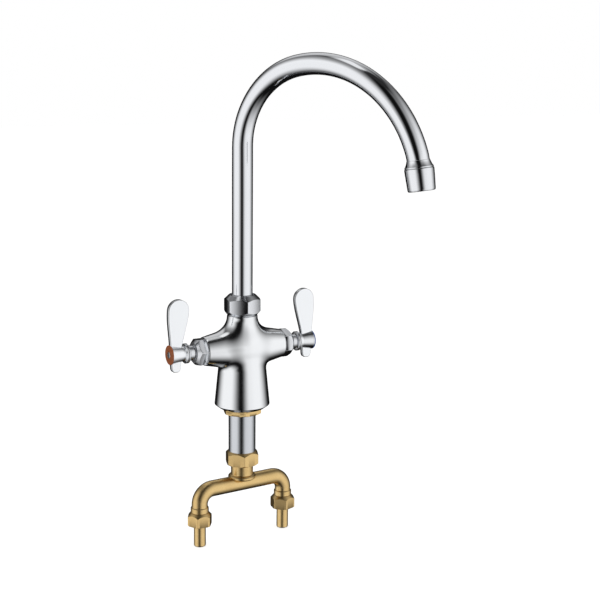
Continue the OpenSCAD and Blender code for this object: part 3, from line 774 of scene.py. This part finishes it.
# %% Outlet fitting and aerator
AERATOR_R, FITTING_END = 12.5, 5.1
HOUSING_END = FITTING_END + 19
at_outlet = (
    turn(SPOUT_TURN, "Z")
    @ shift(SPOUT_TIP[0], 0, SPOUT_TIP[1])
    @ turn(180 - OUTLET, "Y")
)
FLARE_STEPS = 14
flare_t = np.linspace(0, 1, FLARE_STEPS)
flare = np.stack([9.9 + 2.15 * flare_t**1.5, -1.2 + 5.2 * flare_t], -1)
fitting_outline = [
    (9.6, -1.5), *flare, (12.15, 4.2), (12.15, FITTING_END), (11, FITTING_END),
    (11, 11.1), (8.6, 11.1), (8.6, 0.1), (9.6, 0.1),
]
fitting_round = [0.1] + [0] * FLARE_STEPS + [0.15, 0.3] + [0.2] * 5
piece(
    "outlet_flare", [placed(turned(fitting_outline, fitting_round), at_outlet)],
    "spout", ["spout_end_fitting"], chrome_tube_painted_shade,
)
housing_outline = [
    (11.05, FITTING_END + 0.05), (12.1, FITTING_END + 0.05),
    (AERATOR_R, FITTING_END + 0.7), (AERATOR_R - 0.1, FITTING_END + 4),
    (11.7, HOUSING_END - 1.4), (11.3, HOUSING_END - 0.3), (10.5, HOUSING_END),
    (9.4, HOUSING_END), (9.2, HOUSING_END - 1), (11.05, HOUSING_END - 1.6),
]
housing_round = [0.1, 0.2, 0.3, 2, 0.8, 0.4, 0.3, 0.3, 0.2, 0.1]
piece(
    "aerator_sleeve", [placed(turned(housing_outline, housing_round), at_outlet)],
    "spout", ["aerator_housing"], chrome_tube_painted_shade,
)

# %% [markdown]
# ## Bonnets
# Each arm is closed by the hexagon of its valve, with a round neck that the lever
# turns on. The hexagon stands at the angle that the photograph shows: on the left an
# edge points at the camera, on the right a flat does. The ring between bonnet and
# lever has two halves: one ends the bonnet, the other is the foot of the lever's hub.

# %% Bonnets
HEX_FOOT, HEX_TOP, BONNET_END = ARM_LENGTH, ARM_LENGTH + 10.2, 57.3
STEM_HOLE, HALF_RING = 4, 9.2
shoulder_outline = [
    (STEM_HOLE, HEX_TOP - 1), (8.8, HEX_TOP - 1), (8.8, HEX_TOP + 0.05),
    (6.8, HEX_TOP + 0.05), (6.8, BONNET_END - 2.4), (8.4, BONNET_END - 2),
    (HALF_RING, BONNET_END - 1.2), (HALF_RING, BONNET_END), (STEM_HOLE, BONNET_END),
]
plug_outline = [
    (STEM_HOLE, 27), (7.5, 27), (7.5, 29.9), (8.95, 29.9), (8.95, 40), (STEM_HOLE, 40),
]
for side, name, hex_turn in ((-1, "hot", 96), (1, "cold", 52.6)):
    hexagon_grid = nut(
        23.4, HEX_FOOT, HEX_TOP, (13.4, 9.6), (0.2, 3.6),
        [(STEM_HOLE, HEX_TOP), (STEM_HOLE, HEX_FOOT)], hex_turn,
    )
    grids = [hexagon_grid, turned(shoulder_outline, 0.4), turned(plug_outline, 0.2)]
    piece(
        f"{name}_bonnet_polished", [placed(g, on_arm(side)) for g in grids],
        "tap_body", [f"{name}_bonnet"], chrome_turned_painted_shade,
    )

# %% [markdown]
# ## Levers
# A lever is a turned hub with a flat blade forged onto it: a spoon shape above and a
# short tail below. The blade's outline is written as middle line and half width for
# each height, with a round head. Rings of the same outline, drawn inwards step by
# step along a quarter circle, make its rounded edge, and the last ring shrinks onto
# the middle line, which closes the flat face.

# %% Outline of the blade
HANDLE_END = 73.7
BLADE_H, BLADE_HEAD, BLADE_ROOT, BLADE_T, TAIL_H = 50.4, 10.2, 5.3, 5.0, 16.4
HEAD_X, ROOT_X, ROOT_H = HANDLE_END - 9.3, HANDLE_END - 6.3, 6.0
HEAD_H = BLADE_H - BLADE_HEAD
TAIL_HALF, TAIL_NARROWING, TAIL_CORNER = 5.6, 1.4, 3.0
BLADE_EDGE, EDGE_STEPS = 0.9, 8


def blade_sides(height):
    """Middle and half width of the blade: a straight line and a smooth widening."""
    middle = ROOT_X + (HEAD_X - ROOT_X) * (height - ROOT_H) / (HEAD_H - ROOT_H)
    return middle, BLADE_ROOT + (BLADE_HEAD - BLADE_ROOT) * ease(height / HEAD_H)


def blade_outline():
    """Edge points, outward directions and spine points, once round the blade."""
    h = np.linspace(0, HEAD_H, 41)
    middle, half = blade_sides(h)
    foot = TAIL_HALF - TAIL_NARROWING
    low = np.linspace(TAIL_CORNER - TAIL_H, 0, 12)[:-1]
    low_half = foot + (TAIL_HALF - foot) * (low + TAIL_H) / TAIL_H
    right, left, spine = (
        np.concatenate([np.stack([ROOT_X + side * low_half, low], -1),
                        np.stack([middle + side * half, h], -1)])
        for side in (1, -1, 0)
    )
    a = np.linspace(0, math.pi, 49)[1:-1]
    half_circle = np.stack([np.cos(a), np.sin(a)], -1)
    head = np.array([HEAD_X, HEAD_H]) + BLADE_HEAD * half_circle
    b = np.linspace(0, math.pi / 2, 9)[1:]
    quarter = np.stack([-np.cos(b), -np.sin(b)], -1)
    corner = np.array([ROOT_X - foot + TAIL_CORNER, TAIL_CORNER - TAIL_H])
    bottom_left = corner + TAIL_CORNER * quarter
    bottom_right = bottom_left[::-1] * [-1, 1] + [2 * ROOT_X, 0]
    edge = np.concatenate([right, head, left[::-1], bottom_left, bottom_right])
    spines = np.concatenate([
        spine, np.tile(spine[-1], (len(head), 1)), spine[::-1],
        np.tile(spine[0], (len(bottom_left) * 2, 1))])
    ahead = np.roll(edge, -1, axis=0) - np.roll(edge, 1, axis=0)
    outward = unit(np.stack([ahead[:, 1], -ahead[:, 0]], -1))
    return edge, outward, spines


def blade_grid():
    """Rings from the front spine over the rounded edge to the back spine. At the
    angle a of the edge a ring lies inset by r (1 - cos a), and r sin a further out."""
    edge, outward, spines = (closed(v) for v in blade_outline())
    a = np.linspace(math.pi / 2, -math.pi / 2, 2 * EDGE_STEPS + 1)
    inset = BLADE_EDGE * (1 - np.cos(a))
    flat = np.where(a > 0, 1, -1) * (BLADE_T / 2 - BLADE_EDGE)
    depth = flat + BLADE_EDGE * np.sin(a)
    depth[EDGE_STEPS] = 0
    rings = edge - inset[:, None, None] * outward
    rings = np.concatenate([spines[None], rings, spines[None]])
    depth = np.concatenate([[BLADE_T / 2], depth, [-BLADE_T / 2]])
    y = np.broadcast_to(depth[:, None], rings.shape[:2])
    return np.stack([rings[..., 0], y, rings[..., 1]], -1)


# %% Hub, index disc and screw
HUB_FOOT, HUB_END, INDEX_R = 57.7, HANDLE_END - 1.2, 8.9
SCREW_R, SCREW_HOLE, HEAD_HOLE, SCREW_SEAT = 3.0, 2.1, 3.05, HUB_END - 1.2
hub_outline = [
    (SCREW_HOLE, HUB_FOOT), (HALF_RING, HUB_FOOT), (HALF_RING, HUB_FOOT + 0.8),
    (8.4, HUB_FOOT + 1.6), (7, HUB_FOOT + 2.1), (6.9, HUB_FOOT + 4),
    (7.6, HUB_FOOT + 8), (8.2, HUB_END - 3.4), (8.6, HUB_END - 1.4),
    (INDEX_R, HUB_END - 0.3), (INDEX_R, HUB_END), (HEAD_HOLE, HUB_END),
    (HEAD_HOLE, SCREW_SEAT), (SCREW_HOLE, SCREW_SEAT),
]
hub_round = [0.1, 0.2, 0.4, 0.4, 0.4, 1.5, 4, 3, 1.5, 0.2, 0.05, 0.1, 0.1, 0.1]
disc_outline = [
    (HEAD_HOLE, HUB_END), (INDEX_R, HUB_END), (INDEX_R, HANDLE_END),
    (HEAD_HOLE, HANDLE_END),
]
screw_outline = [
    (0, 62), (1.9, 62), (1.95, SCREW_SEAT), (SCREW_R, SCREW_SEAT),
    (SCREW_R, HANDLE_END + 0.4), (1.5, HANDLE_END + 0.5), (1.4, HANDLE_END - 0.8),
    (0, HANDLE_END - 0.8),
]
screw_round = [0, 0.3, 0, 0.2, 0.5, 0.1, 0.1, 0]
for side, name, enamel in ((-1, "hot", hot_enamel), (1, "cold", cold_enamel)):
    at_handle = shift(0, 0, ARM_HEIGHT) @ np.diag([side, 1.0, 1.0, 1.0])
    on_axis = at_handle @ turn(90, "Y")
    blade = placed(blade_grid(), at_handle)
    hub = placed(turned(hub_outline, hub_round), on_axis)
    disc = placed(turned(disc_outline, [0, 0.1, 0.4, 0.3]), on_axis)
    screw = placed(turned(screw_outline, screw_round, around=64), on_axis)
    rides = f"{name}_handle"
    piece(f"{name}_lever_forged", [blade, hub], rides, [f"{name}_lever"],
          chrome_blade)
    piece(f"{name}_index_enamel", [disc], rides, [f"{name}_index_disc"],
          enamel)
    piece(f"{name}_screw_turned", [screw], rides, [f"{name}_handle_screw"],
          screen_steel)

# %% [markdown]
# ## The yoke
# Hot and cold water arrive through two legs that a bent tube joins under the shank.
# The tube is carried along leg, elbow, bar, elbow and leg; the spigot in the middle
# and the threaded collars at the ends are turned.

# %% Yoke
YOKE_TURN, YOKE_R, LEG_X, ELBOW_R = 5.0, 7.5, 46.0, 13.0
NUT_FOOT = SHANK_NUT_TOP - 13.7
YOKE_H = NUT_FOOT - 18
COLLAR_TOP, COLLAR_FOOT = YOKE_H - 16, YOKE_H - 20.4
LEG_FOOT = COLLAR_TOP - 12
FLANGE_TOP = SHANK_FOOT - 1.2


def yoke_path():
    """Points and directions from the left leg's foot to the right leg's foot."""
    quarter = np.radians(np.linspace(0, 90, 25))
    start = [(-LEG_X, YOKE_H - ELBOW_R - below) for below in (8, 4)]
    bend = ELBOW_R * np.stack([-np.cos(quarter), np.sin(quarter)], -1)
    elbow = np.array([ELBOW_R - LEG_X, YOKE_H - ELBOW_R]) + bend
    bar = np.stack([np.linspace(ELBOW_R - LEG_X, 0, 10)[1:], np.full(9, YOKE_H)], -1)
    half = np.concatenate([start, elbow, bar])
    line = np.concatenate([half, (half * [-1, 1])[-2::-1]])
    return line, unit(np.gradient(line, axis=0))


def bent_tube(line, ahead, r, around=72):
    """Circles line + r (cos a x normal + sin a x Y), closed by a point at each end."""
    a = np.linspace(0, 2 * math.pi, around + 1)
    normal = np.stack([-ahead[:, 1], ahead[:, 0]], -1)
    ring = line[:, None] + r * np.cos(a)[:, None] * normal[:, None]
    side = r * np.broadcast_to(np.sin(a), ring.shape[:2])
    grid = np.stack([ring[..., 0], side, ring[..., 1]], -1)
    ends = [np.broadcast_to([x, 0, z], grid[:1].shape) for x, z in line[[0, -1]]]
    return np.concatenate([ends[0], grid, ends[1]])


spigot_outline = [
    (0, YOKE_H + 4.6), (12, YOKE_H + 4.6), (13, YOKE_H + 5.6), (13, YOKE_H + 7.2),
    (11.8, YOKE_H + 8.4), (10.4, YOKE_H + 8.8), (10.4, FLANGE_TOP - 1.5),
    (12.3, FLANGE_TOP - 1.5), (12.3, FLANGE_TOP), (8.6, FLANGE_TOP),
    (8.6, YOKE_H + 12), (0, YOKE_H + 12),
]
spigot_round = [0, 0.4, 0.5, 0.5, 0.5, 0.8, 0.3, 0.2, 0.2, 0.2, 0.2, 0]
collar_outline = [
    (4.2, LEG_FOOT), (7.6, LEG_FOOT), (7.6, COLLAR_FOOT), (8.4, COLLAR_FOOT),
    (8.4, COLLAR_TOP), (7.5, COLLAR_TOP + 0.8), (7.3, COLLAR_TOP + 4),
    (4.2, COLLAR_TOP + 4),
]
about_yoke = turn(YOKE_TURN, "Z")
yoke_grids = [bent_tube(*yoke_path(), YOKE_R), turned(spigot_outline, spigot_round)]
for side in (-1, 1):
    collar = turned(collar_outline, [0.3, 0.5, 0.1, 0.3, 0.6, 0.5, 0.1, 0.3])
    yoke_grids.append(placed(collar, shift(side * LEG_X, 0, 0)))
brass_piece("supply_yoke", [placed(g, about_yoke) for g in yoke_grids], "yoke")

# %% Nuts and tails of the yoke
YOKE_NUT_FOOT, YOKE_NUT_SEAT = NUT_FOOT + 0.9, FLANGE_TOP - 1.55
yoke_nut_bore = [
    (SHANK_HOLE, SHANK_NUT_TOP), (SHANK_HOLE, YOKE_NUT_SEAT), (10.45, YOKE_NUT_SEAT),
    (10.45, YOKE_NUT_FOOT),
]
yoke_nut_grid = nut(
    28.5, YOKE_NUT_FOOT, SHANK_NUT_TOP, (14.6, 13.4), (1.4, 3), yoke_nut_bore, 13
)
brass_piece("yoke_nut_brass", [yoke_nut_grid], "yoke_nut")
UNION_TOP = COLLAR_FOOT - 0.1
UNION_FOOT = UNION_TOP - 12.3
TAIL_FLANGE = LEG_FOOT - 1.2
TAIL_FOOT, UNION_SEAT = UNION_FOOT - 20.7, TAIL_FLANGE - 1.55
union_bore = [
    (7.65, UNION_TOP), (7.65, UNION_SEAT), (5.45, UNION_SEAT), (5.45, UNION_FOOT),
]
tail_outline = [
    (4, TAIL_FOOT), (4.5, TAIL_FOOT), (5.3, TAIL_FOOT + 0.4), (5.6, TAIL_FOOT + 1.2),
    (5.6, UNION_FOOT - 0.4), (5.4, UNION_FOOT - 0.4), (5.4, TAIL_FLANGE - 1.5),
    (7.3, TAIL_FLANGE - 1.5), (7.3, TAIL_FLANGE), (4, TAIL_FLANGE),
]
for side, name, union_turn in ((-1, "hot", -69), (1, "cold", -45)):
    at_leg = about_yoke @ shift(side * LEG_X, 0, 0)
    union = nut(
        20.7, UNION_FOOT, UNION_TOP, (11.2, 8.7), (0.6, 3.6), union_bore, union_turn
    )
    tail = turned(tail_outline, 0.2, around=96)
    brass_piece(f"{name}_union_nut_brass", [placed(union, at_leg)], f"{name}_union_nut")
    brass_piece(f"{name}_tail_brass", [placed(tail, at_leg)], f"{name}_tailpiece")

# %% [markdown]
# ## The pieces inside
# The valves, seals and washers are hidden while the tap is whole, but they are there
# and they may be taken out. Their CAD solids have the right shape, so they only get
# the finishes made above. A star stands for both sides, hot and cold.

# %% Finishes of the pieces inside
inside = {
    chrome_turned_painted_shade: ["spout_sleeve"],
    plain_brass: ["inner_tube", "*_cartridge_shell", "*_stem"],
    black_rubber: ["base_gasket", "shank_washer", "spout_o_rings", "aerator_washer",
                   "*_union_washer", "*_bonnet_seal", "*_seat_seal", "*_stem_seal"],
    white_plastic: ["spout_bearing_ring", "aerator_insert"],
    screen_steel: ["aerator_screen"],
    ceramic: ["*_fixed_disc", "*_moving_disc"],
}
for finish, names in inside.items():
    both_sides = {n.replace("*", side) for n in names for side in ("hot", "cold")}
    for name in sorted(both_sides):
        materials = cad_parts[name].data.materials
        materials.clear()
        materials.append(finish)
    print(finish.name, "on", sorted(both_sides))

# %% [markdown]
# ## The light tent
# Chrome has no colour of its own to speak of: what we see is the room. Such a tap is
# photographed between two white walls under a white panel. The slit that is left for
# the camera makes the black stripe down every upright tube, the dark floor blackens
# the undersides, and the open back darkens the rims. The world shader paints that
# room by direction: azimuth from the camera and height above the horizon, both in
# degrees. A wall is a product of ramps, one for each of its edges.

# %% Azimuth and height of a direction
world = bpy.data.worlds.new("light_tent")
bpy.context.scene.world = world
world.use_nodes = True
tent = world.node_tree
tent.nodes.clear()
towards = add(tent, "ShaderNodeTexCoord")
turned_to_camera = add(
    tent, "ShaderNodeVectorRotate",
    {"Vector": towards.outputs["Generated"],
     "Angle": math.radians(-TOWARDS_CAMERA)}, rotation_type="Z_AXIS",
)
parts = add(tent, "ShaderNodeSeparateXYZ", {"Vector": turned_to_camera.outputs[0]})


def maths(operation, *values):
    """One Math node of the tent."""
    inputs = {i: v for i, v in enumerate(values)}
    return add(tent, "ShaderNodeMath", inputs, operation=operation).outputs[0]


def product(first, *others):
    """All values multiplied."""
    for other in others:
        first = maths("MULTIPLY", first, other)
    return first


def ramp(value, start, end, before=0.0, after=1.0):
    """Goes from before to after while the value goes from start to end, smoothly."""
    return add(
        tent, "ShaderNodeMapRange",
        {"Value": value, "From Min": start, "From Max": end, "To Min": before,
         "To Max": after}, interpolation_type="SMOOTHSTEP",
    ).outputs[0]


DEGREES = 180 / math.pi
azimuth = product(maths("ARCTAN2", parts.outputs["Y"], parts.outputs["X"]), DEGREES)
height = product(maths("ARCSINE", parts.outputs["Z"]), DEGREES)

# %% [markdown]
# The slit is wider at the top: there its left edge has moved 18 degrees to the left
# and its right edge only 3. The left wall is brightest low down and fades upwards.
# The right wall fades over a longer way, and its upper edge is lower beside the slit.

# %% The two walls and the slit between them
SLIT_LEFT, SLIT_RIGHT = (-50, -8), (-1, 33)
LEANS, LEFT_LEAN, RIGHT_LEAN = (-5, 12), 18, 3
LEFT_END, LEFT_BASE, LEFT_TOP = (-138, -84), (-78, -22), (18, 54)
RIGHT_END, RIGHT_BASE, RIGHT_TOP = (78, 140), (-74, -17), (14, 68)
RIGHT_SLOPES, RIGHT_GROWS, WALLS_END = (25, 65), (25, 60), (62, 74)
SLOPE, LEFT_FADED, RIGHT_FADED, RIGHT_NEAR = 12, 0.2, 0.18, 0.9
lean = ramp(height, *LEANS)
left_edge = maths("MULTIPLY_ADD", lean, LEFT_LEAN, azimuth)
right_edge = maths("MULTIPLY_ADD", lean, RIGHT_LEAN, azimuth)
sloping = maths("ADD", height, ramp(azimuth, *RIGHT_SLOPES, SLOPE, 0))
left_wall = product(
    ramp(azimuth, *LEFT_END), ramp(left_edge, *SLIT_LEFT, 1, 0),
    ramp(height, *LEFT_BASE), ramp(height, *LEFT_TOP, 1, LEFT_FADED),
)
right_wall = product(
    ramp(azimuth, *RIGHT_END, 1, 0), ramp(right_edge, *SLIT_RIGHT),
    ramp(azimuth, *RIGHT_GROWS, RIGHT_NEAR, 1), ramp(height, *RIGHT_BASE),
    ramp(sloping, *RIGHT_TOP, 1, RIGHT_FADED),
)
walls = product(maths("MAXIMUM", left_wall, right_wall), ramp(height, *WALLS_END, 1, 0))
print("darkest part of the slit:", SLIT_RIGHT[0] - SLIT_LEFT[1], "degrees wide")

# %% [markdown]
# The panel overhead lights the left side and, at half strength, the far right. The
# ceiling between them stays dark, and that draws the black line along the shoulder of
# the left arm. A card stands behind on both sides and lights the top of that arm, and
# a faint haze lies beside the slit.

# %% Card, panel and haze
CARD_LEFT, CARD_RIGHT = (-150, -120), (135, 172)
CARD_BASE, CARD_TOP = (22, 38), (66, 76)
PANEL_LEFT, PANEL_RIGHT, PANEL_RIM = (-66, -44), (100, 170), (60, 74)
SLIT_MIDDLE, HAZE_SIDE, HAZE_BASE, HAZE_TOP = -14, (14, 40), (10, 40), (50, 64)
CARD_LIGHT, HAZE_LIGHT, DARK_ROOM = 0.52, 0.13, 0.006
PANEL_LIGHT, CEILING_LIGHT, FAR_LIGHT = 0.95, 0.02, 0.5
behind = maths("MAXIMUM", ramp(azimuth, *CARD_LEFT, 1, 0), ramp(azimuth, *CARD_RIGHT))
card = product(behind, ramp(height, *CARD_BASE), ramp(height, *CARD_TOP, CARD_LIGHT, 0))
near_panel = ramp(azimuth, *PANEL_LEFT, PANEL_LIGHT, CEILING_LIGHT)
far_panel = ramp(azimuth, *PANEL_RIGHT, 0, FAR_LIGHT)
panel = product(ramp(height, *PANEL_RIM), maths("MAXIMUM", near_panel, far_panel))
beside_slit = maths("ABSOLUTE", maths("ADD", azimuth, -SLIT_MIDDLE))
haze = product(
    ramp(height, *HAZE_BASE), ramp(height, *HAZE_TOP, 1, 0),
    ramp(beside_slit, *HAZE_SIDE, 0, HAZE_LIGHT),
)
brightest = maths("MAXIMUM", maths("MAXIMUM", walls, card), panel)
bright = maths("ADD", maths("ADD", brightest, haze), DARK_ROOM)

# %% White for the camera, the tent for everything else
light_path = add(tent, "ShaderNodeLightPath")
strength = maths("MAXIMUM", bright, light_path.outputs["Is Camera Ray"])
emit = add(
    tent, "ShaderNodeBackground", {"Color": (1, 1, 1, 1), "Strength": strength}
)
add(tent, "ShaderNodeOutputWorld", {"Surface": emit.outputs[0]})
print("nodes in the tent:", len(tent.nodes))

# %% [markdown]
# ## Floor and lamp
# The tap rests on a pale floor, which stays almost white and keeps a soft shadow.
# One large lamp overhead gives that shadow a direction.

# %% Floor
FLOOR_Z, FLOOR_HALF = cad_low[2] - 0.0005, 6.0
square = FLOOR_HALF * np.array([(-1, -1), (1, -1), (1, 1), (-1, 1)])
floor_mesh = bpy.data.meshes.new("floor")
floor_mesh.from_pydata([(x, y, FLOOR_Z) for x, y in square], [], [(0, 1, 2, 3)])
floor = bpy.data.objects.new("floor", floor_mesh)
bpy.context.scene.collection.objects.link(floor)
floor.visible_glossy = False
floor_material = bpy.data.materials.new("pale_floor")
floor_material.use_nodes = True
floor_tree = floor_material.node_tree
floor_tree.nodes.clear()
matt = add(floor_tree, "ShaderNodeBsdfDiffuse", {"Color": (0.8, 0.8, 0.8, 1)})
glow = add(floor_tree, "ShaderNodeEmission", {"Color": (1, 1, 1, 1), "Strength": 0.75})
seen = add(floor_tree, "ShaderNodeLightPath")
nothing = add(floor_tree, "ShaderNodeEmission", {"Strength": 0.0})
glow_seen = add(
    floor_tree, "ShaderNodeMixShader",
    {0: seen.outputs["Is Camera Ray"], 1: nothing.outputs[0], 2: glow.outputs[0]},
)
both = add(
    floor_tree, "ShaderNodeAddShader", {0: matt.outputs[0], 1: glow_seen.outputs[0]}
)
add(floor_tree, "ShaderNodeOutputMaterial", {"Surface": both.outputs[0]})
floor_mesh.materials.append(floor_material)

# %% Lamp
lamp_data = bpy.data.lights.new("overhead_lamp", "AREA")
lamp_data.shape = "DISK"
lamp_data.size = 1.2
lamp_data.energy = 6
lamp = bpy.data.objects.new("overhead_lamp", lamp_data)
bpy.context.scene.collection.objects.link(lamp)
lamp.visible_camera = False
lamp.visible_glossy = False
lamp.location = (-0.5, -0.4, 1.6)
lamp.rotation_euler = (math.radians(-15), math.radians(-18), 0)
print("floor at", round(FLOOR_Z / MM), "mm, lamp at", round(lamp.location[2] / MM))

# %% [markdown]
# ## Colour management
# The colours should come out as they were written, so the view transform is the
# plain one.

# %% Finish
bpy.context.scene.view_settings.view_transform = "Standard"
